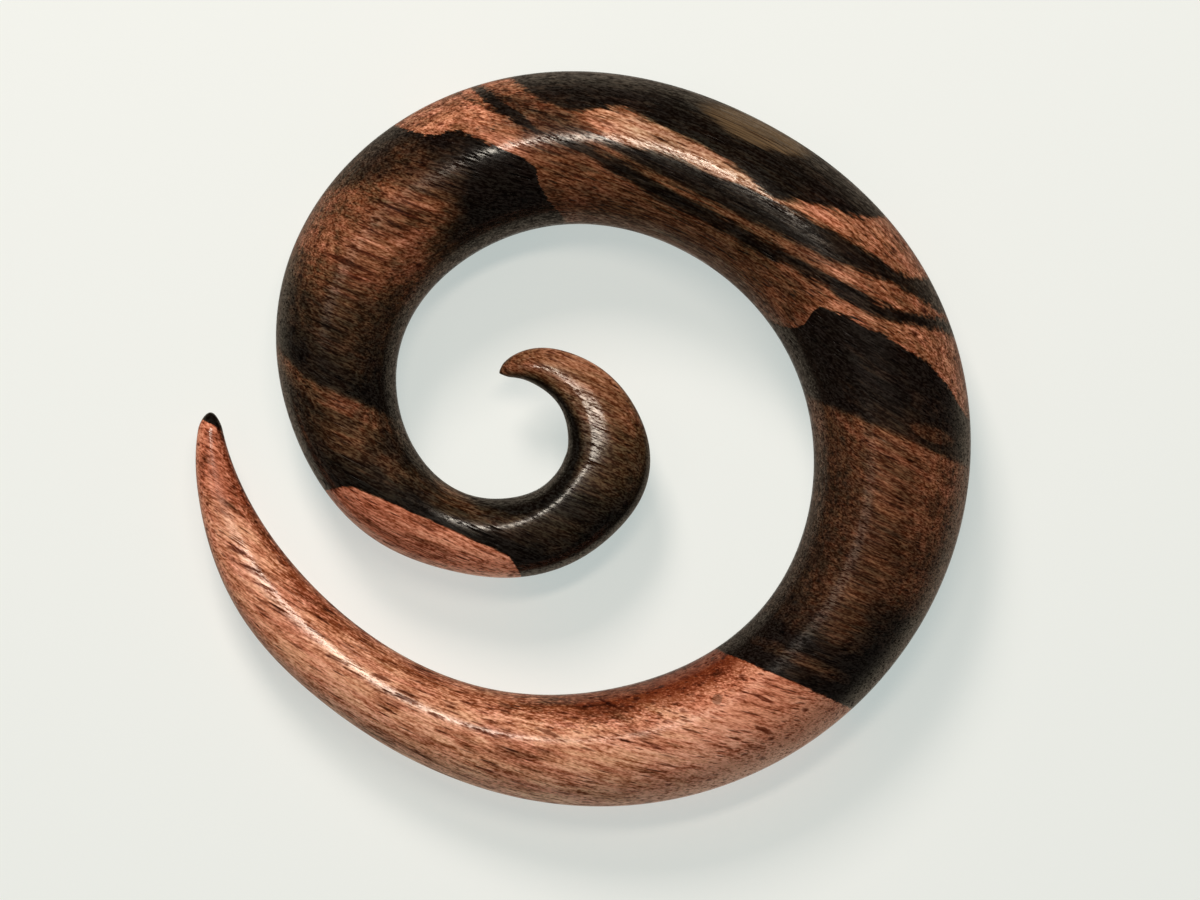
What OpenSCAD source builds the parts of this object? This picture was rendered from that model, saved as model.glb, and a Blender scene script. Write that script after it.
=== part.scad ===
// Spiral ear taper, carved from one piece of two-toned wood and polished.
// It starts at a sharp inner point, swells along the spiral to its gauge and thins to a blunt tip.
// It lies flat as it rests on a surface: +Z up, millimetres, with the origin at the middle of
// its outline, on that surface.

/* [Taper] */
// Thickest diameter, the gauge of the ear that it is worn in
gauge = 10; // [8:0.5:11]
// Farthest that the centre line runs from the eye of the spiral
spiral_reach = 23; // [23:0.5:27]
// Height of a section, as a share of its width
depth_share = 0.95; // [0.85:0.01:1]
// Where the inner point lies as seen from the eye, anticlockwise from +X
start_angle = 111; // [60:1:160]

/* [Tips] */
// Length over which the inner point is rounded off
inner_tip_round = 0.5; // [0.3:0.1:1]
// Length over which the outer tip is rounded off
outer_tip_round = 1.1; // [0.6:0.1:1.6]

/* [Rest] */
// Lean of the spiral's plane when the taper rests on its three fullest places
rest_lean = 2.5; // [0:0.1:5]
// Direction of the axis that it leans about, anticlockwise from +X
rest_axis = -36; // [-90:1:90]

/* [Mesh] */
// Sections along the taper, between its tips
rings = 158; // [80:2:170]
// Sides of each section
sides = 32; // [16:4:32]

/* [Hidden] */

// Columns of the table of sections: degrees turned clockwise round the eye since the inner point,
// distance of the centre line from the eye in hundredths of spiral_reach, width in hundredths of
// gauge, how far the ridge lies towards the inner edge in hundredths of the half width, and
// percent flatter than depth_share makes a section
TURN = 0;
REACH = 1;
WIDTH = 2;
RIDGE = 3;
FLAT = 4;
sections = [
    [0, 19.5, 4, 0, 0],
    [6, 19.7, 9.5, 0, 0],
    [15, 20.1, 15.5, 10, 0],
    [30, 20.4, 23, 20, 15],
    [50, 20.4, 29.5, 25, 28],
    [75, 20.8, 38, 28, 30],
    [105, 21.9, 48, 28, 28],
    [130, 23.4, 54, 27, 24],
    [155, 23.7, 52.5, 22, 14],
    [180, 24.7, 51, 15, 5],
    [210, 27, 50, 8, 0],
    [240, 31.7, 49.5, 4, 0],
    [270, 39.8, 58.5, 0, 0],
    [300, 49.8, 68.5, 0, 0],
    [330, 62.1, 84, 0, 0],
    [360, 72.1, 94.5, 0, 0],
    [390, 80.4, 95.5, 0, 0],
    [420, 87.7, 94.5, 0, 0],
    [450, 96.5, 100, 0, 0],
    [480, 100, 96, 0, 0],
    [510, 96.8, 84, 0, 0],
    [540, 88.6, 75.5, 0, 0],
    [570, 81.7, 61, 0, 4],
    [600, 79.2, 51.5, -10, 10],
    [620, 81.2, 46, -22, 15],
    [640, 84.1, 29.5, -18, 15],
    [652, 85.8, 16.5, 0, 5],
    [656, 86, 11, 0, 0]
];
last_turn = sections[len(sections) - 1][TURN];

// The row of the table that opens the span round a turn
function span_at(turn) =
    max([for (row = [0 : len(sections) - 2]) if (row == 0 || sections[row][TURN] <= turn) row]);

// Slope of a column at a row, from the rows on both sides of it
function slope(row, column) =
    let (before = sections[max(row - 1, 0)])
    let (after = sections[min(row + 1, len(sections) - 1)])
    (after[column] - before[column]) / (after[TURN] - before[TURN]);

// A column of the table at any turn, on the cubic that meets both rows of the span and their slopes
function smooth(turn, column) =
    let (row = span_at(turn))
    let (near = sections[row])
    let (far = sections[row + 1])
    let (span = far[TURN] - near[TURN])
    let (part = (turn - near[TURN]) / span)
    (1 + 2 * part) * pow(1 - part, 2) * near[column]
        + part * pow(1 - part, 2) * span * slope(row, column)
        + pow(part, 2) * (3 - 2 * part) * far[column]
        + pow(part, 2) * (part - 1) * span * slope(row + 1, column);

// The centre line, flat round the eye
function centre(turn) =
    smooth(turn, REACH) / 100 * spiral_reach * [cos(start_angle - turn), sin(start_angle - turn), 0];

// Length of the centre line up to each whole degree, to space the sections evenly
lengths = [
    for (turn = 0, run = 0;
         turn <= last_turn;
         run = run + norm(centre(turn + 1) - centre(turn)), turn = turn + 1)
        [run, turn]
];
taper_length = lengths[last_turn][0];

// Share of its full width that a section keeps, at a distance from a tip rounded over a length
function rounding(distance, length) =
    sqrt(1 - pow(1 - min(distance / length, 1), 2));

// Runs along the centre line where the sections stand, closer together round the tips
tip_rings = 4;
tip_steps = [for (k = [1 : tip_rings]) 1 - cos(90 * k / (tip_rings + 1))];
body_run = taper_length - inner_tip_round - outer_tip_round;
runs = concat(
    [for (k = [0 : tip_rings - 1]) inner_tip_round * tip_steps[k]],
    [for (k = [0 : rings - 1]) inner_tip_round + body_run * k / (rings - 1)],
    [for (k = [tip_rings - 1 : -1 : 0]) taper_length - outer_tip_round * tip_steps[k]]
);

// One carved section: an ellipse across the centre line whose top and bottom lean sideways to
// the ridge
function section(run) =
    let (turn = lookup(run, lengths))
    let (step = 0.5)
    let (ahead = centre(min(turn + step, last_turn)) - centre(max(turn - step, 0)))
    let (outwards = cross([0, 0, 1], ahead) / norm(ahead))
    let (kept = rounding(run, inner_tip_round) * rounding(taper_length - run, outer_tip_round))
    let (half_width = smooth(turn, WIDTH) / 200 * gauge * kept)
    let (half_depth = half_width * depth_share * (1 - smooth(turn, FLAT) / 100))
    let (ridge = smooth(turn, RIDGE) / 100)
    [
        for (k = [0 : sides - 1])
            let (angle = 360 * k / sides)
            centre(turn)
                + outwards * half_width * (cos(angle) - ridge * pow(sin(angle), 2))
                + [0, 0, half_depth * sin(angle)]
    ];

// A point turned about the rest axis by the lean
lean_axis = [cos(rest_axis), sin(rest_axis), 0];
function leaned(p) =
    p * cos(rest_lean)
        + cross(lean_axis, p) * sin(rest_lean)
        + lean_axis * (lean_axis * p) * (1 - cos(rest_lean));

// All points, from the inner point to the outer tip, then moved to the origin
carved = concat([centre(0)], [for (run = runs) each section(run)], [centre(last_turn)]);
resting = [for (p = carved) leaned(p)];
low = [for (axis = [0 : 2]) min([for (p = resting) p[axis]])];
high = [for (axis = [0 : 2]) max([for (p = resting) p[axis]])];
origin = [(low.x + high.x) / 2, (low.y + high.y) / 2, low.z];
skin_points = [for (p = resting) p - origin];

// Index of a point on a section, and the triangles between sections and round both ends
last_point = len(skin_points) - 1;
function at(ring, side) = 1 + ring * sides + side % sides;
skin_faces = concat(
    [for (k = [0 : sides - 1]) [0, at(0, k), at(0, k + 1)]],
    [
        for (ring = [0 : len(runs) - 2], k = [0 : sides - 1], half = [0, 1])
            half == 0
                ? [at(ring, k), at(ring + 1, k), at(ring + 1, k + 1)]
                : [at(ring, k), at(ring + 1, k + 1), at(ring, k + 1)]
    ],
    [for (k = [0 : sides - 1]) [last_point, at(len(runs) - 1, k + 1), at(len(runs) - 1, k)]]
);

// The whole carved body
module taper() {
    color([0.40, 0.25, 0.19])
        polyhedron(points = skin_points, faces = skin_faces, convexity = 6);
}

taper();
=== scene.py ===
"""Spiral ear taper, carved from one piece of two-toned wood, polished and laid on a pale surface."""

import math

import bpy
import numpy as np
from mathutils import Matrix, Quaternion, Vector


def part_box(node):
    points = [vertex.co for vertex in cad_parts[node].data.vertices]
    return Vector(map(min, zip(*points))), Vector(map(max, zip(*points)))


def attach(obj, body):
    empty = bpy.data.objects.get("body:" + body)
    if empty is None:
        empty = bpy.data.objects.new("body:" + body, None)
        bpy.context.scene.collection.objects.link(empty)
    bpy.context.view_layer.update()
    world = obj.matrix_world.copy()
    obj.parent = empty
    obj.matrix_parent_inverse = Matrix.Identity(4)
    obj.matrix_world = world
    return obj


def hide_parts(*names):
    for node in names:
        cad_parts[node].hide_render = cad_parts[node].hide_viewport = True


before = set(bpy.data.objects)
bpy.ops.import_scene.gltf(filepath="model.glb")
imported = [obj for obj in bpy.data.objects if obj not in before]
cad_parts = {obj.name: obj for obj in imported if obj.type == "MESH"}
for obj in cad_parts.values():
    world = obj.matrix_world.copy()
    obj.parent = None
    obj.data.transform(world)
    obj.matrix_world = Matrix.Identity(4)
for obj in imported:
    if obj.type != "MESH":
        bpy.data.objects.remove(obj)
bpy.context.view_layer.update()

# The carved body: one piece of hardwood, sawn from a board, carved round and sanded smooth. It is
# a rod along a flat spiral, which swells from a sharp inner point to the gauge of the ear and thins
# to a blunt outer tip. It leans a little, because it rests on its three fullest places.

# Lengths are in millimetres, until MM makes them metres
MM = 0.001
GAUGE = 10.0
SPIRAL_REACH = 23.0
DEPTH_SHARE = 0.95
START_ANGLE = math.radians(111.0)
INNER_TIP_ROUND = 0.5
OUTER_TIP_ROUND = 1.1
REST_LEAN = math.radians(2.5)
REST_AXIS = math.radians(-36.0)
LINE_STEPS = 6000
RINGS = 820
TIP_RINGS = 14
SIDES = 112

# The curl is fuller beside its crest: round which turn, for how many degrees to each side, and by
# what share of the half depth
FULL_TURN = 174.0
FULL_REACH = 50.0
MOST_FULL = 0.185

# One row for each section: degrees turned clockwise round the eye since the inner point, distance
# from the eye in hundredths of SPIRAL_REACH, width in hundredths of GAUGE, how far the ridge lies
# towards the inner edge in hundredths of the half width, and percent flatter than other sections.
SECTIONS = np.array([
    [0, 19.5, 4, 0, 0],
    [6, 19.7, 9.5, 0, 0],
    [15, 20.1, 15.5, 10, 0],
    [30, 20.4, 23, 20, 15],
    [50, 20.4, 29.5, 25, 28],
    [75, 20.8, 38, 28, 30],
    [105, 21.9, 48, 28, 28],
    [130, 23.4, 54, 27, 24],
    [155, 23.7, 52.5, 22, 14],
    [180, 24.7, 51, 15, 5],
    [210, 27, 50, 8, 0],
    [240, 31.7, 49.5, 4, 0],
    [270, 39.8, 58.5, 0, 0],
    [300, 49.8, 68.5, 0, 0],
    [330, 62.1, 84, 0, 0],
    [360, 72.1, 94.5, 0, 0],
    [390, 80.4, 95.5, 0, 0],
    [420, 87.7, 94.5, 0, 0],
    [450, 96.5, 100, 0, 0],
    [480, 100, 96, 0, 0],
    [510, 96.8, 84, 0, 0],
    [540, 88.6, 75.5, 0, 0],
    [570, 81.7, 61, 0, 4],
    [600, 79.2, 51.5, -10, 10],
    [620, 81.2, 46, -22, 15],
    [640, 84.1, 29.5, -18, 15],
    [652, 85.8, 16.5, 0, 5],
    [656, 86, 11, 0, 0],
], dtype=float)
TURN, REACH, WIDTH, RIDGE, FLAT = SECTIONS.T


def spline(knots, values, at):
    """A smooth curve through the knots: cubics whose bends at the knots solve the three-term
    equations of a natural spline, so slope and bend run on without a jump."""
    gap = np.diff(knots)
    inner = np.arange(1, len(knots) - 1)
    system = np.eye(len(knots))
    system[inner, inner - 1] = gap[:-1]
    system[inner, inner] = 2 * (gap[:-1] + gap[1:])
    system[inner, inner + 1] = gap[1:]
    target = np.zeros(len(knots))
    target[1:-1] = 6 * np.diff(np.diff(values) / gap)
    bend = np.linalg.solve(system, target)
    span = np.clip(np.searchsorted(knots, at, side="right") - 1, 0, len(gap) - 1)
    width = gap[span]
    before, after = knots[span + 1] - at, at - knots[span]
    return (
        (bend[span] * before ** 3 + bend[span + 1] * after ** 3) / (6 * width)
        + (values[span] / width - bend[span] * width / 6) * before
        + (values[span + 1] / width - bend[span + 1] * width / 6) * after
    )


def centre_line(turn):
    """The middle of the rod: at each turn, the splined reach in the direction START_ANGLE - turn."""
    reach = spline(TURN, REACH, turn) / 100 * SPIRAL_REACH
    angle = START_ANGLE - np.radians(turn)
    return np.stack([reach * np.cos(angle), reach * np.sin(angle), np.zeros_like(reach)], axis=-1)


def rounding(distance, length):
    """Share of the width kept at a distance from a tip: a quarter ellipse over the length."""
    return np.sqrt(1 - (1 - np.clip(distance / length, 0, 1)) ** 2)


def carved_surface():
    """Rings of points along the spiral: each is an ellipse across the centre line, whose top and
    bottom lean to the inner edge by the ridge times the square of the height. The top's shoulders
    are fuller by a share of the height less its fifth power, which leaves the crest flat."""
    turns = np.linspace(0, TURN[-1], LINE_STEPS)
    line = centre_line(turns)
    runs = np.concatenate([[0], np.cumsum(np.linalg.norm(np.diff(line, axis=0), axis=1))])
    ease = 1 - np.cos(np.linspace(0, np.pi / 2, TIP_RINGS + 1))[1:-1]
    at = np.concatenate([
        INNER_TIP_ROUND * ease,
        np.linspace(INNER_TIP_ROUND, runs[-1] - OUTER_TIP_ROUND, RINGS),
        runs[-1] - OUTER_TIP_ROUND * ease[::-1],
    ])
    turn = np.interp(at, runs, turns)
    middle = centre_line(turn)
    nudge = 0.1
    ahead = centre_line(np.minimum(turn + nudge, TURN[-1])) - centre_line(np.maximum(turn - nudge, 0))
    ahead /= np.linalg.norm(ahead, axis=1, keepdims=True)
    outwards = np.cross([0.0, 0.0, 1.0], ahead)
    kept = rounding(at, INNER_TIP_ROUND) * rounding(runs[-1] - at, OUTER_TIP_ROUND)
    half_width = spline(TURN, WIDTH, turn) / 200 * GAUGE * kept
    ridge = spline(TURN, RIDGE, turn) / 100
    side = np.linspace(0, 2 * np.pi, SIDES, endpoint=False)
    across = half_width[:, None] * (np.cos(side) - ridge[:, None] * np.sin(side) ** 2)
    half_depth = half_width * DEPTH_SHARE * (1 - spline(TURN, FLAT, turn) / 100)
    fuller = MOST_FULL * np.exp(-((turn - FULL_TURN) / FULL_REACH) ** 2)
    top = np.clip(np.sin(side), 0, 1)
    up = half_depth[:, None] * (np.sin(side) + fuller[:, None] * (top - top ** 5))
    rings = middle[:, None] + across[..., None] * outwards[:, None]
    rings[..., 2] += up
    return np.concatenate([line[:1], rings.reshape(-1, 3), line[-1:]])


def leaned(points):
    """The points turned by REST_LEAN about the level axis that points along REST_AXIS."""
    axis = np.array([math.cos(REST_AXIS), math.sin(REST_AXIS), 0.0])
    along = points @ axis
    return (
        points * math.cos(REST_LEAN)
        + np.cross(axis, points) * math.sin(REST_LEAN)
        + along[:, None] * axis * (1 - math.cos(REST_LEAN))
    )


def closed_skin(name, points, rings, sides):
    """A mesh of four-sided faces between rings of points, closed by fans round its first and last."""
    ring, side = np.meshgrid(np.arange(rings - 1), np.arange(sides), indexing="ij")
    here, beside = 1 + ring * sides + side, 1 + ring * sides + (side + 1) % sides
    walls = np.stack([here, beside, beside + sides, here + sides], axis=-1).reshape(-1, 4)
    k = np.arange(sides)
    first_fan = np.stack([np.zeros_like(k), 1 + (k + 1) % sides, 1 + k], axis=-1)
    base = 1 + (rings - 1) * sides
    last_fan = np.stack([np.full_like(k, len(points) - 1), base + k, base + (k + 1) % sides], axis=-1)
    mesh = bpy.data.meshes.new(name)
    mesh.from_pydata(points.tolist(), [], walls.tolist() + first_fan.tolist() + last_fan.tolist())
    mesh.polygons.foreach_set("use_smooth", np.ones(len(mesh.polygons), dtype=bool))
    mesh.update()
    made = bpy.data.objects.new(name, mesh)
    bpy.context.collection.objects.link(made)
    return made


# The skin is centred on the solid's box and stands on the same level
points = leaned(carved_surface()) * MM
node_low, node_high = (np.array(corner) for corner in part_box("taper"))
low, high = points.min(axis=0), points.max(axis=0)
to_place = (node_low + node_high - low - high) / 2
to_place[2] = node_low[2] - low[2]
points += to_place
EYE = to_place[:2]
taper = closed_skin("carved_taper", points, RINGS + 2 * (TIP_RINGS - 1), SIDES)
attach(taper, "root")
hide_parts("taper")


# The wood: one board of rosewood, with red-brown sapwood, brown heartwood and near-black streaks
# that run along the grain. The colour goes through the whole piece, so the carving bares it at
# every depth. The skin is oiled and then polished.
GRAIN_TURN = math.radians(24.0)


class Value:
    """A socket of a material's node tree. Python's operators on it add Math nodes to the tree."""

    def __init__(self, tree, socket):
        self.tree = tree
        self.socket = socket

    def node(self, kind, settings=None, sockets=None, output=0):
        """Adds a node of a kind: first its settings, then values or links into its sockets. Stops
        are a ramp's places and colours, and points are a curve's places, all from 0 to 1."""
        made = self.tree.nodes.new(kind)
        for name, value in (settings or {}).items():
            if name == "stops":
                stops = made.color_ramp.elements
                while len(stops) < len(value):
                    stops.new(1.0)
                for stop, (place, colour) in zip(stops, value):
                    stop.position = place
                    stop.color = (*colour, 1.0)
            elif name == "points":
                curve = made.mapping.curves[0]
                while len(curve.points) < len(value):
                    curve.points.new(0.5, 0.5)
                for point, place in zip(curve.points, value):
                    point.location = place
                    point.handle_type = "AUTO_CLAMPED"
                made.mapping.extend = "HORIZONTAL"
                made.mapping.update()
            else:
                setattr(made, name, value)
        for name, value in (sockets or {}).items():
            if isinstance(value, Value):
                self.tree.links.new(value.socket, made.inputs[name])
            else:
                made.inputs[name].default_value = value
        return Value(self.tree, made.outputs[output])

    def math(self, operation, *operands):
        """One Math node on numbers and sockets."""
        return self.node("ShaderNodeMath", {"operation": operation}, dict(enumerate(operands)))

    def __add__(self, other):
        return self.math("ADD", self, other)

    def __mul__(self, other):
        return self.math("MULTIPLY", self, other)

    def __sub__(self, other):
        return self.math("SUBTRACT", self, other)

    def __rsub__(self, other):
        return self.math("SUBTRACT", other, self)

    def __truediv__(self, other):
        return self.math("DIVIDE", self, other)

    __radd__ = __add__
    __rmul__ = __mul__

    def least(self, other):
        """The smaller of the two at each place."""
        return self.math("MINIMUM", self, other)

    def most(self, other):
        """The larger of the two at each place."""
        return self.math("MAXIMUM", self, other)

    def rise(self, low, high):
        """A smooth step from 0 at low to 1 at high."""
        return self.node(
            "ShaderNodeMapRange",
            {"interpolation_type": "SMOOTHSTEP"},
            {"Value": self, "From Min": low, "From Max": high},
        )

    def mixed(self, other, share):
        """This number moved towards another by a share."""
        return self.node("ShaderNodeMix", {}, {"Factor": share, "A": self, "B": other})


def blend(first, second, share, how="MIX"):
    """One colour mixed with another by a share. A Mix node's colours are its sockets 6, 7 and 2."""
    at = next(item for item in (share, first, second) if isinstance(item, Value))
    first, second = (item if isinstance(item, Value) else (*item, 1.0) for item in (first, second))
    settings = {"data_type": "RGBA", "blend_type": how}
    return at.node("ShaderNodeMix", settings, {0: share, 6: first, 7: second}, output=2)


def linear(red, green, blue):
    """A colour as a screen shows it, 0 to 255, as the light that it stands for: the screen's curve
    is straight in the darkest part and a power of 2.4 above it."""
    parts = np.array([red, green, blue]) / 255
    return tuple(np.where(parts <= 0.04045, parts / 12.92, ((parts + 0.055) / 1.055) ** 2.4))


# The wood is charted from -SPAN to SPAN millimetres both ways
SPAN = 26.0


def in_span(place):
    """A place on the chart as the 0 to 1 that a curve reads."""
    return (place + SPAN) / (2 * SPAN)


def charted(place, rows):
    """A smooth curve through rows of a place in millimetres and a value from 0 to 1."""
    at = in_span(place)
    scaled = [(in_span(a), value) for a, value in rows]
    return at.node("ShaderNodeFloatCurve", {"points": scaled}, {"Value": at})


def edge(along, points):
    """The height of a streak's edge across the grain: a smooth curve through points in millimetres."""
    rows = [(a, in_span(b)) for a, b in points]
    return charted(along, rows) * (2 * SPAN) - SPAN


# Darkness of the wood on each arm, by its level across the grain in millimetres
LEFT_ARM = [
    (-8.3, 1.0), (-7.4, 0.86), (-6.7, 0.7), (-5.7, 0.63), (-4.8, 0.58), (-4.3, 0.5), (-3.7, 0.52),
    (-3.4, 0.92), (-2.9, 0.96), (-1.7, 0.84), (0.2, 0.73), (2.1, 0.62), (4.0, 0.48), (5.8, 0.38),
    (7.7, 0.38), (8.6, 0.5), (9.3, 0.46), (9.9, 0.56), (10.4, 0.7), (12.4, 0.84), (13.3, 1.0),
]
INNER_CURL = [
    (-8.3, 1.0), (-7.9, 0.9), (-7.3, 0.63), (-6.4, 0.55), (-5.7, 0.56), (-4.2, 0.58), (-1.7, 0.64),
    (0.2, 0.58), (2.1, 0.46), (4.6, 0.34),
]
RIGHT_ARM = [
    (-8.3, 1.0), (-7.7, 1.0), (-7.3, 0.8), (-6.8, 0.78), (-6.5, 0.93), (-5.5, 0.88), (-5.1, 0.74),
    (-2.9, 0.68), (2.1, 0.62), (4.0, 0.59), (5.8, 0.54), (7.7, 0.5), (8.2, 0.56), (8.6, 0.92),
    (9.6, 0.92), (10.4, 0.99), (13.0, 1.0),
]
TOP_ARM = [
    (11.5, 0.54), (13.5, 0.54), (14.6, 0.54), (15.6, 0.53), (16.6, 0.52), (17.6, 0.42), (18.4, 0.27),
    (20.0, 0.24), (22.0, 0.4),
]

# Single dark lines on the crests: middle along and across the grain, half length, half thickness
DASHES = [
    (-15.4, 9.1, 1.5, 0.08), (-16.1, 8.4, 1.8, 0.16), (-15.9, 7.5, 1.3, 0.08), (-17.4, 6.6, 1.1, 0.07),
    (-17.0, 5.1, 1.3, 0.09), (-17.6, 4.1, 2.0, 0.18), (-17.9, 2.5, 1.5, 0.1), (-17.6, 0.0, 1.2, 0.08),
    (18.0, 6.8, 1.1, 0.07), (19.6, -0.7, 1.0, 0.08), (-8.4, -18.8, 0.9, 0.12), (-5.4, -18.7, 0.7, 0.1),
    (-3.5, -19.3, 0.8, 0.12), (-1.3, -19.5, 0.6, 0.1), (2.0, -19.2, 0.9, 0.1), (5.5, -17.6, 0.9, 0.14),
    (-16.9, -15.1, 0.7, 0.13), (-15.7, -15.8, 0.9, 0.11), (-14.4, -16.5, 0.9, 0.1),
    (11.8, -15.7, 0.9, 0.1), (17.8, -12.0, 0.7, 0.14), (16.9, -10.2, 0.8, 0.12), (8.3, -14.4, 0.8, 0.1),
]

# Edges of the sorts of wood: points along and across the grain, in millimetres. The light wood lies
# below its edge and the top arm's wood above its own, and so does the outermost dark streak. Each
# of the other two dark streaks lies between two edges.
LIGHT_EDGE = [
    (-22.0, -8.5), (-20.5, -8.6), (-19.0, -9.9), (-14.2, -10.0), (-13.2, -9.3), (-12.3, -8.7),
    (-10.5, -8.5), (-1.5, -8.5), (-0.6, -8.9), (1.0, -9.9), (4.0, -9.9), (9.0, -8.6), (23.0, -8.5),
]
TOP_ARM_FLOOR = [
    (-20.7, 13.0), (-18.2, 13.2), (-16.4, 13.5), (-15.4, 14.2), (-14.5, 14.5), (-12.0, 14.5),
    (-9.5, 14.2), (-9.0, 13.5), (-7.0, 12.3), (-4.5, 11.5), (6.8, 11.5), (9.0, 11.6), (9.8, 12.3),
    (9.9, 13.3), (11.1, 13.7), (14.3, 13.6), (16.1, 13.4), (18.0, 13.0), (19.3, 12.4), (21.1, 11.2),
    (23.6, 9.8),
]
OUTER_BAND = [
    (-15.1, 17.8), (-13.2, 18.8), (-11.4, 18.4), (-9.5, 18.4), (-8.2, 18.9), (-7.0, 19.6),
    (-5.2, 20.0), (-0.7, 19.9), (1.8, 19.5), (3.6, 19.0), (4.9, 18.8), (6.1, 19.1), (8.6, 19.6),
    (10.5, 19.9), (11.8, 20.6),
]
MIDDLE_BAND = (
    [(-7.0, 17.6), (-4.5, 18.0), (-2.0, 18.4), (-0.7, 18.5), (2.4, 18.5), (5.5, 18.4), (8.6, 18.3),
     (11.8, 18.0), (14.3, 17.5), (15.3, 17.9), (17.0, 18.5)],
    [(-7.0, 17.5), (-4.5, 17.2), (-2.0, 17.0), (2.4, 16.8), (5.5, 16.7), (10.5, 16.6), (13.6, 16.7),
     (15.5, 16.6), (17.0, 16.3)],
)
THIN_BAND = (
    [(-9.5, 16.6), (-7.0, 16.9), (-3.9, 16.8), (-0.7, 16.5), (2.4, 16.3), (5.5, 16.0), (8.6, 15.8),
     (11.8, 15.6), (13.6, 15.4), (15.0, 15.5), (16.1, 15.7), (17.5, 16.1)],
    [(-9.5, 16.5), (-7.0, 16.2), (-3.9, 15.9), (-0.7, 15.6), (2.4, 15.4), (5.5, 15.1), (8.6, 15.0),
     (11.8, 14.6), (13.6, 14.4), (15.0, 14.6), (16.1, 14.9), (17.5, 15.3)],
)

# Single patches: the middle along and across the grain, and the reach both ways, in millimetres
BROWN_PATCH = (-10.4, 17.3), (3.4, 1.4)
DARK_PATCH = (-12.9, 16.9), (2.5, 0.35)
RED_PATCH = (19.9, 9.2), (1.5, 0.5)
OLIVE_PATCH = (2.0, 22.1), (3.6, 0.8)
# The cream streak, paled further by a painted sheen
CREAM_STREAK_AND_SHEEN = (-1.4, 19.1), (7.0, 1.2)
KNOT = (14.3, -11.4), (0.32, 0.36)

material = bpy.data.materials.new("streaked_rosewood")
material.use_nodes = True
tree = material.node_tree
tree.nodes.clear()
surface = tree.nodes.new("ShaderNodeBsdfPrincipled")
result = tree.nodes.new("ShaderNodeOutputMaterial")
tree.links.new(surface.outputs[0], result.inputs["Surface"])
place = Value(tree, tree.nodes.new("ShaderNodeTexCoord").outputs["Object"])
grain = place.node(
    "ShaderNodeMapping",
    {},
    {"Vector": place, "Rotation": (0.0, 0.0, GRAIN_TURN), "Scale": (1 / MM, 1 / MM, 1 / MM)},
)


def part(vector, index):
    """One of a vector's three numbers."""
    return vector.node("ShaderNodeSeparateXYZ", {}, {"Vector": vector}, output=index)


def stretched(vector, scale):
    """A vector times a scale for each direction."""
    return vector.node("ShaderNodeVectorMath", {"operation": "MULTIPLY"}, {0: vector, 1: scale})


def noise(vector, scale, detail=2.0, rough=0.5):
    """Noise, -0.5 to 0.5, with a scale for each direction: along the grain, across it and up."""
    made = vector.node(
        "ShaderNodeTexNoise",
        {},
        {"Vector": stretched(vector, scale), "Scale": 1.0, "Detail": detail, "Roughness": rough},
    )
    return made - 0.5


# Three shares for each point of the skin: how far it faces along the grain, where cut fibres soak
# up the oil and darken, how far it faces the eye, where it gets painted shade and less polish,
# and how far its outer side faces the lower right, where it gets a pale painted sheen
vertices = len(taper.data.vertices)
normals, places = np.empty(3 * vertices), np.empty(3 * vertices)
taper.data.vertices.foreach_get("normal", normals)
taper.data.vertices.foreach_get("co", places)
normals, places = normals.reshape(-1, 3), places.reshape(-1, 3)
outwards = places[:, :2] - EYE
outwards /= np.linalg.norm(outwards, axis=1, keepdims=True)
facing_out = (normals[:, :2] * outwards).sum(axis=1)
SHEEN_SIDE = [0.5, -0.87, 0.0]
shares = {
    "end_grain": np.abs(normals @ [math.cos(GRAIN_TURN), -math.sin(GRAIN_TURN), 0.0]),
    "inner_side": np.clip(-facing_out, 0, 1),
    "worn": np.clip(facing_out, 0, 1) * np.clip(normals @ SHEEN_SIDE, 0, 1),
}
for name, values in shares.items():
    share = taper.data.attributes.new(name, "FLOAT", "POINT")
    share.data.foreach_set("value", values)
cut_across, inner_side, worn = (
    place.node("ShaderNodeAttribute", {"attribute_name": name}, {}, output="Fac") for name in shares
)

# The wood is charted as seen from above, where what lies higher than the middle of the rod looks a
# little larger, by SPREAD for each millimetre
MIDDLE_HEIGHT = 4.5
SPREAD = 0.0027
height = part(grain, 2)
slant = (height - MIDDLE_HEIGHT) * SPREAD + 1.0
along, across = part(grain, 0) * slant, part(grain, 1) * slant

# The fibres bow by the square of the distance from BOW_MIDDLE: their ends rise in the lower part of
# the piece and sink in the upper part
BOW_MIDDLE = -2.5
from_bow = along - BOW_MIDDLE
bow = from_bow * from_bow * (0.0005 - across * 0.00035)
fibre_place = along.node("ShaderNodeCombineXYZ", {}, {"X": along, "Y": across - bow, "Z": height})

# The level that the charts are read at: the layers sway, their edges are ragged and, on the top
# arm, feathered, and in the lower half of the rod they bend aside by the square of the depth
BEND_HEIGHT = 4.3
sway = noise(grain, (0.3, 0.9, 0.9)) * 0.15
ragged = noise(grain, (0.7, 6.5, 6.5), 3.0, 0.65) * (across.rise(11.0, 13.0) * 0.35 + 0.35)
feather = noise(grain, (0.25, 3.6, 3.6), 2.0) * across.rise(12.0, 15.0) * 0.65
below = (BEND_HEIGHT - height).most(0.0)
level = across + sway + ragged + feather + below * below * 0.06
level_place = along.node("ShaderNodeCombineXYZ", {}, {"X": along, "Y": level})


def away(middle, reach, at=level_place):
    """Squared distance from a place along and across the grain, counted in reaches."""
    off = at.node("ShaderNodeVectorMath", {"operation": "SUBTRACT"}, {0: at, 1: (*middle, 0.0)})
    off = stretched(off, (1 / reach[0], 1 / reach[1], 1.0))
    return off.node("ShaderNodeVectorMath", {"operation": "DOT_PRODUCT"}, {0: off, 1: off}, output="Value")


def spot(middle, reach, at=level_place):
    """1 in an oval round a place along and across the grain, fading to 0 past its edge."""
    return 1 - away(middle, reach, at).rise(0.5, 1.4)
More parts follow.
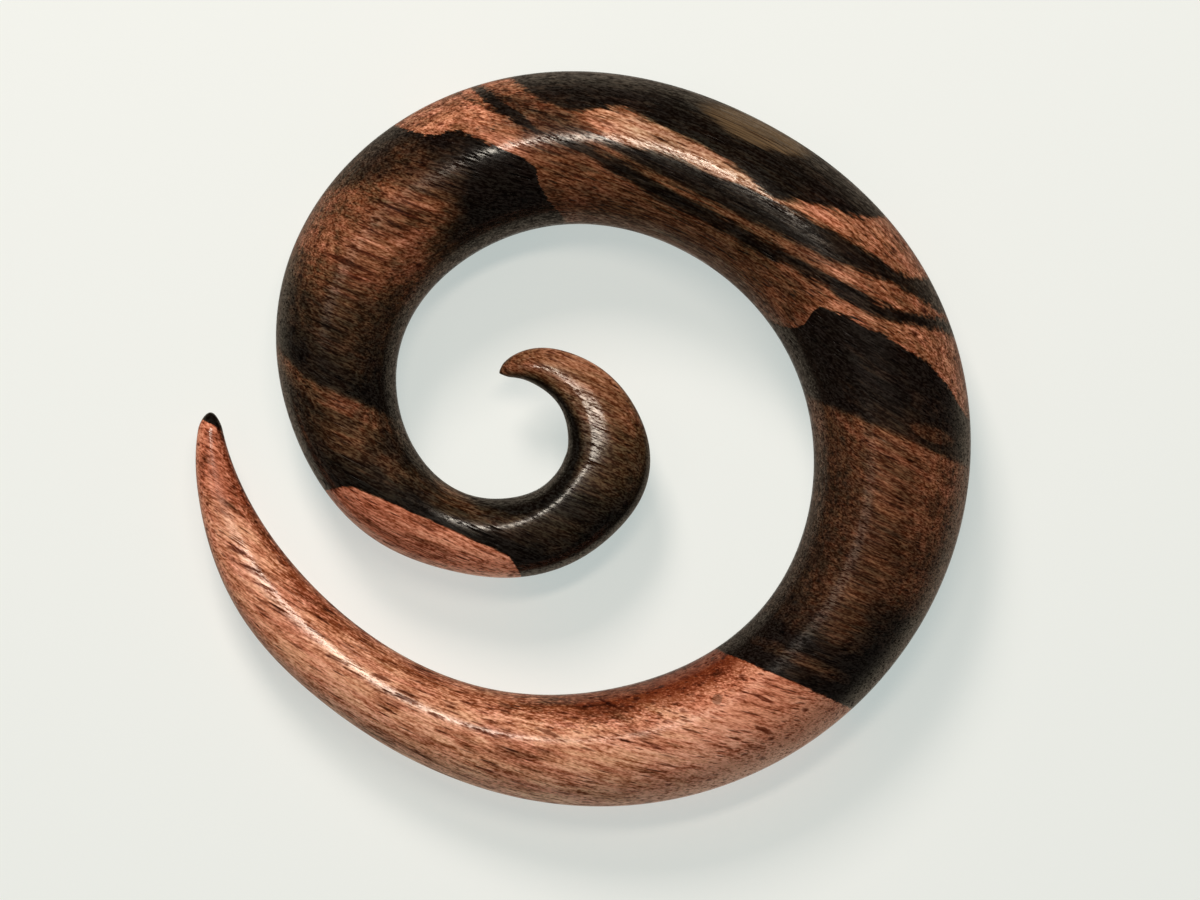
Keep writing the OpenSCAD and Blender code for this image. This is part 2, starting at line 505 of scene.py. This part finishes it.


# The arms between the light wood and the top arm. Outside TILT_START the left arm's layers draw
# together. Each arm has places darker than its chart; the left arm's inner half is darker partly from
# its wood and partly from painted shade.
TILT_START = -17.5
tilt = 0.5 - level.rise(0.0, 7.0) * 1.1
left = charted(level - (TILT_START - along).most(0.0) * tilt, LEFT_ARM)
# The left arm's inner half: partly darker wood, partly painted shade
left = left + along.rise(-14.2, -11.6) * level.rise(1.0, 9.0) * 0.42
left = left + along.rise(-14.0, -17.5) * level.rise(-3.0, -4.5) * 0.2
left = left + along.rise(-12.6, -11.0) * level.rise(-3.0, -3.8) * level.rise(-6.6, -5.4) * 0.2
curl = charted(level, INNER_CURL) + along.rise(-5.0, 0.5) * level.rise(-1.5, -4.0) * 0.3
right = charted(level, RIGHT_ARM) + along.rise(19.8, 22.0) * level.rise(-0.5, -3.0) * 0.25
right = right.mixed(0.64, spot(*RED_PATCH) * 0.8)
tone = left.mixed(curl, along.rise(-8.0, -5.5)).mixed(right, along.rise(5.5, 8.0))


def between(edges, soft):
    """1 between two edges of a streak, and 0 where they meet and outside them."""
    upper, lower = (edge(along, points) for points in edges)
    return (level - lower).least(upper - level).rise(-0.4 * soft, 0.6 * soft)


# The top arm: lighter towards both ends, with a brown patch, a dark one that slopes and three dark
# streaks
top_tone = charted(level, TOP_ARM)
top_tone = top_tone.mixed(0.3, along.rise(-8.0, -13.0)).mixed(0.34, along.rise(8.0, 11.5))
top_tone = top_tone.mixed(0.58, spot(*BROWN_PATCH))
slope = (along - DARK_PATCH[0][0]) * 0.2
sloping = along.node("ShaderNodeCombineXYZ", {}, {"X": along, "Y": level + slope})
top_tone = top_tone.mixed(0.95, spot(*DARK_PATCH, sloping))
top_tone = top_tone.mixed(0.97, (level - edge(along, OUTER_BAND)).rise(-0.25, 0.2))
top_tone = top_tone.mixed(0.92, between(MIDDLE_BAND, 0.45))
top_tone = top_tone.mixed(0.95, between(THIN_BAND, 0.45))

# All the sorts together. The inner side, most of all the curl's, is a little darker: painted shade.
on_curl = along.rise(-6.5, -4.0) * (1 - along.rise(5.5, 7.0)) * level.rise(-7.5, -5.5)
tone = tone + inner_side.rise(0.05, 0.9) * (on_curl * 0.4 + along.rise(9.0, 14.0) * 0.12 + 0.08)
tone = tone.mixed(top_tone, (level - edge(along, TOP_ARM_FLOOR)).rise(-0.08, 0.08))
pale = (edge(along, LIGHT_EDGE) - level).rise(-0.08, 0.08)
# The light wood's tone, darker on its inner side as painted shade
tone = tone.mixed(inner_side.rise(0.2, 0.95) * 0.1 + 0.14 - along.rise(11.0, 16.0) * 0.08, pale)

# The charted dark lines: each place reads its nearest one
nearest, *others = (away(row[:2], row[2:]) for row in DASHES)
for other in others:
    nearest = nearest.least(other)
dash = 1 - nearest.rise(0.5, 1.4)

# The figure: long and short fibres, wider streaks, layers and clouds. The light wood's inner side
# gets painted shade, which also hides its fibres.
long_fibres = noise(fibre_place, (0.7, 8.0, 8.0), 1.0)
short_fibres = noise(fibre_place, (3.6, 11.0, 11.0), 1.0)
pale_inner_shade = inner_side.rise(0.36, 0.82) * pale
pale_inner_shade = pale_inner_shade * (along.rise(3.0, 8.5) * 0.65 + along.rise(-5.0, -10.0) * 0.15 + 0.3)
fibres = (long_fibres * 0.9 + short_fibres) * (1 - pale_inner_shade * 0.6)
streaks = noise(fibre_place, (0.35, 2.8, 2.8), 3.0, 0.6)
layers = noise(fibre_place, (0.25, 0.6, 5.0), 1.0)
clouds = noise(fibre_place, (0.15, 0.6, 0.6), 2.0)
figure = streaks * (pale * 0.25 + 0.85) + layers * 0.4 + clouds * (pale * 0.2 + 0.45)
figure = figure * (1.0 - on_curl * 0.3)

# On the crest of the top arm long dark lines are drawn along the grain, and wood whose fibres are
# cut across is darker
drawn_lines = (noise(grain, (0.16, 7.0, 7.0), 2.0) * 6.0 - 0.45).most(0.0).least(1.0)
drawn_lines = drawn_lines * across.rise(11.5, 13.5) * (1 - cut_across.rise(0.2, 0.6))
cut_tone = cut_across * cut_across * (on_curl * 0.3 + 0.1 - pale * 0.1 - along.rise(9.0, 14.0) * 0.1)
tone = tone + figure * (1.0 - tone * 0.5) + cut_tone + drawn_lines * 0.3

# The wood's colours from light to dark, as a screen shows them
COLOURS = [
    (0.0, linear(228, 170, 136)),
    (0.2, linear(194, 128, 96)),
    (0.4, linear(126, 77, 51)),
    (0.62, linear(80, 50, 31)),
    (0.82, linear(44, 29, 18)),
    (1.0, linear(19, 12, 8)),
]
colour = tone.node("ShaderNodeValToRGB", {"stops": COLOURS}, {"Fac": tone})

# Each fibre is darker and redder, or paler and greyer, than the wood round it. The light wood's
# inner flank gets more of the dark tint, as painted shade. The side facing the lower right gets more
# of the pale tint, as painted sheen, most of all on the light wood round SHEEN_MIDDLE.
SHEEN_MIDDLE = -0.7
DARK_FIBRE_AND_SHADE = (0.4, 0.26, 0.16)
PALE_FIBRE_AND_SHEEN = (2.0, 2.6, 3.1)
PALE_INNER_SHADE = (0.5, 0.34, 0.24)
flank_shade = inner_side.rise(0.25, 0.75) * pale
flank_shade = flank_shade * (along.rise(3.0, 8.0) * 0.4 + along.rise(-6.0, -11.0) * 0.2 + 0.55)
darker = (fibres * (2.6 + tone * 4.8) + flank_shade).most(0.0).least(1.0)
from_sheen_middle = along - SHEEN_MIDDLE
sheen_strength = (1 - from_sheen_middle * from_sheen_middle * 0.006).most(0.0) * pale * 0.8 + 0.45
paler = (fibres * (-1.1 - tone * 4.5) + worn * sheen_strength).most(0.0).least(1.0)
colour = blend(colour, DARK_FIBRE_AND_SHADE, darker, "MULTIPLY")
colour = blend(colour, PALE_FIBRE_AND_SHEEN, paler, "MULTIPLY")
# The light wood's inner side is darkened further by painted shade
colour = blend(colour, PALE_INNER_SHADE, pale_inner_shade, "MULTIPLY")

# The wood is pinker where fibres are cut across, and more golden along them. Some wood has a cast
# of its own: the lens of light wood under the curl, the light wood's left end, the curl, the cream
# streak of the top arm, which is also paled by a painted sheen, and the brown of the left arm and the
# curl.
PINK = (1.03, 0.92, 1.0)
GOLDEN = (1.0, 1.0, 0.99)
lens = level.rise(-13.0, -12.0)
ruddy = pale * (lens + along.rise(9.0, 17.0) * 0.7).least(1.0)
blush = noise(fibre_place, (0.3, 1.5, 1.5), 2.0)
gold = (blush * 3.0 + 0.7 - cut_across * 0.5 - ruddy).most(0.0).least(1.0)
colour = blend(colour, blend(PINK, GOLDEN, gold), 1.0, "MULTIPLY")
CASTS = [
    ((0.9, 0.8, 0.74), pale * lens),
    ((1.02, 0.95, 0.93), pale * along.rise(-6.0, -11.0)),
    ((0.9, 1.0, 1.0), on_curl),
    ((0.98, 1.12, 1.2), spot(*CREAM_STREAK_AND_SHEEN)),
    ((0.92, 1.04, 1.05), tone.rise(0.45, 0.62) * along.rise(9.0, 6.0) * level.rise(11.0, 9.0)),
]
for cast, where in CASTS:
    colour = blend(colour, cast, where, "MULTIPLY")

# Near the top edge lies a patch with olive rings, and at the right end of the bottom arm a knot
DARK_OLIVE = linear(66, 50, 36)
LIGHT_OLIVE = linear(136, 110, 80)
KNOT_WOOD = linear(92, 62, 44)
ringed = (noise(grain, (0.3, 2.0, 11.0), 1.0) * 2.2 + 0.5).least(1.0).most(0.0)
olive_wood = blend(DARK_OLIVE, LIGHT_OLIVE, ringed)
colour = blend(colour, olive_wood, spot(*OLIVE_PATCH) * 0.62)
colour = blend(colour, KNOT_WOOD, spot(*KNOT) * 0.6)


def pores(vector, scale, shift, size):
    """Pore mask: long thin hollows round scattered points, in space squeezed along the grain.
    Each point's own random number sets how wide its hollow is."""
    moved = vector.node("ShaderNodeVectorMath", {"operation": "ADD"}, {0: vector, 1: shift})
    cells = moved.node("ShaderNodeTexVoronoi", {}, {"Vector": stretched(moved, scale), "Scale": 1.0})
    chance = part(Value(cells.tree, cells.socket.node.outputs["Color"]), 0)
    return 1 - (cells / (size * (0.3 + chance))).rise(0.4, 1.0)


# Two sets of pores everywhere, thin lines on the crests, and blots where the fibres are cut across
pore = pores(fibre_place, (0.3, 2.6, 2.6), (0.0, 0.0, 0.0), 0.26)
pore = pore.most(pores(fibre_place, (0.2, 3.0, 3.0), (17.0, 5.0, 9.0), 0.24))
on_crest = 1 - cut_across.rise(0.25, 0.65)
lines = pores(fibre_place, (0.3, 3.2, 3.2), (3.0, 31.0, 4.0), 0.27) * on_crest
blots = pores(fibre_place, (0.9, 1.3, 1.3), (7.0, 2.0, 13.0), 0.27) * cut_across.rise(0.12, 0.45)
PORE = (0.25, 0.14, 0.1)
hollow = (blots * 0.95).most(pore * 0.8).most(lines * 0.9).most(dash * 0.9)
colour = blend(colour, PORE, hollow, "MULTIPLY")

# The polish is thicker on the light wood and breaks up along the fibres and pores. It is thinner
# on the inner side, the left arm's upper half, the top arm's right half and the curl's upper half.
roughness = 0.32 + pore * 0.2 + fibres * 0.2
dull = along.rise(-11.5, -14.0) * level.rise(6.0, 9.0) * 0.35 + inner_side * 0.3
dull = dull + along.rise(3.0, 7.0) * level.rise(11.0, 14.0) * 0.35
dull = dull + on_curl * level.rise(0.5, 2.0) * 0.25
polish = 0.6 + pale * 0.35 - fibres * 2.6 - streaks * 2.2 - lines * 1.2 - pore - dash - dull
polish = polish.least(1.0).most(0.0)

# The grain can be felt: the polish sinks a little into the pores
RELIEF_DEPTH = 0.035 * MM
relief = streaks * 0.3 - fibres * 0.3 - pore * 0.8 - lines * 0.9
skin_normal = relief.node(
    "ShaderNodeBump", {}, {"Height": relief, "Strength": 1.0, "Distance": RELIEF_DEPTH}
)

VARYING = {"Base Color": colour, "Roughness": roughness, "Coat Weight": polish, "Normal": skin_normal}
for name, value in VARYING.items():
    tree.links.new(value.socket, surface.inputs[name])
surface.inputs["Specular IOR Level"].default_value = 0.09
surface.inputs["Coat Roughness"].default_value = 0.17
taper.data.materials.append(material)

# The surface, the light and the camera: a milky sheet that glows a little from beneath, soft lamps
# above it and a pale room with a dark ceiling. The camera looks straight down, as the photograph
# does.
FLOOR_SIZE = 3.0
floor_mesh = bpy.data.meshes.new("floor")
half = FLOOR_SIZE / 2
floor_mesh.from_pydata(
    [(-half, -half, 0), (half, -half, 0), (half, half, 0), (-half, half, 0)], [], [(0, 1, 2, 3)]
)
floor = bpy.data.objects.new("floor", floor_mesh)
bpy.context.collection.objects.link(floor)
sheet = bpy.data.materials.new("milky_sheet")
sheet.use_nodes = True
milky = sheet.node_tree.nodes["Principled BSDF"].inputs
milky["Base Color"].default_value = (0.435, 0.402, 0.397, 1)
milky["Roughness"].default_value = 0.8
milky["Specular IOR Level"].default_value = 0.1
milky["Emission Color"].default_value = (0.475, 0.531, 0.517, 1)
milky["Emission Strength"].default_value = 1.0
floor_mesh.materials.append(sheet)
floor.visible_diffuse = False
floor.visible_glossy = False
floor.visible_shadow = False

# Each lamp: where it stands, its length and width, how far it is turned, its power, whether the
# polish mirrors it, and its colour
LAMPS = {
    "softbox": ((0.001, 0.0685, 0.225), (0.098, 0.022), 22.0, 0.17, True, (1.0, 0.91, 0.78)),
    "window": ((-0.102, 0.018, 0.21), (0.1, 0.06), 0.0, 0.018, True, (1.0, 0.91, 0.78)),
    "lamp_through_cloth": ((-0.1, 0.34, 0.32), (0.13, 0.13), 0.0, 1.73, False, (1.0, 0.95, 0.86)),
    "glow_of_the_sheet": ((0.0, -0.02, -0.1), (0.3, 0.3), 0.0, 0.26, False, (1.0, 0.95, 0.86)),
}
for name, (stand, size, turned, power, mirrored, tint) in LAMPS.items():
    light = bpy.data.lights.new(name, "AREA")
    light.shape = "RECTANGLE"
    light.size, light.size_y = size
    light.energy = power
    light.color = tint
    lamp = bpy.data.objects.new(name, light)
    lamp.location = stand
    facing_down = (-lamp.location).to_track_quat("-Z", "Y")
    spin = Quaternion((0.0, 0.0, 1.0), math.radians(turned))
    lamp.rotation_euler = (facing_down @ spin).to_euler()
    lamp.visible_glossy = mirrored
    bpy.context.collection.objects.link(lamp)

world = bpy.data.worlds.new("room")
bpy.context.scene.world = world
world.use_nodes = True
sky = Value(world.node_tree, world.node_tree.nodes.new("ShaderNodeTexCoord").outputs["Generated"])
up = part(sky, 2) * 0.5 + 0.5

# The room's light by height: 0 is straight down, 0.5 is level and 1 is straight up
ROOM = [
    (0.0, (0.4, 0.4, 0.36)),
    (0.06, (0.26, 0.2, 0.15)),
    (0.13, (0.42, 0.35, 0.27)),
    (0.21, (0.47, 0.4, 0.3)),
    (0.3, (0.41, 0.35, 0.26)),
    (0.4, (0.26, 0.23, 0.18)),
    (0.5, (0.11, 0.1, 0.085)),
    (0.65, (0.06, 0.06, 0.055)),
    (0.85, (0.05, 0.05, 0.045)),
]
room = up.node("ShaderNodeValToRGB", {"stops": ROOM}, {"Fac": up})
world.node_tree.links.new(room.socket, world.node_tree.nodes["Background"].inputs["Color"])
world.node_tree.nodes["Background"].inputs["Strength"].default_value = 1.0

# The camera's picture at the middle height of the rod: how wide it is and where its middle lies
VIEW_WIDTH = 75.0 * MM
VIEW_MIDDLE = (1.09 * MM, -0.66 * MM)
camera_data = bpy.data.cameras.new("camera")
camera_data.lens = 180.0
camera_data.sensor_width = 36.0
camera_data.clip_start = 0.01
camera = bpy.data.objects.new("camera", camera_data)
distance = VIEW_WIDTH * camera_data.lens / camera_data.sensor_width
camera.location = (*VIEW_MIDDLE, MIDDLE_HEIGHT * MM + distance)
bpy.context.collection.objects.link(camera)
bpy.context.scene.camera = camera
bpy.context.scene.view_settings.view_transform = "Standard"
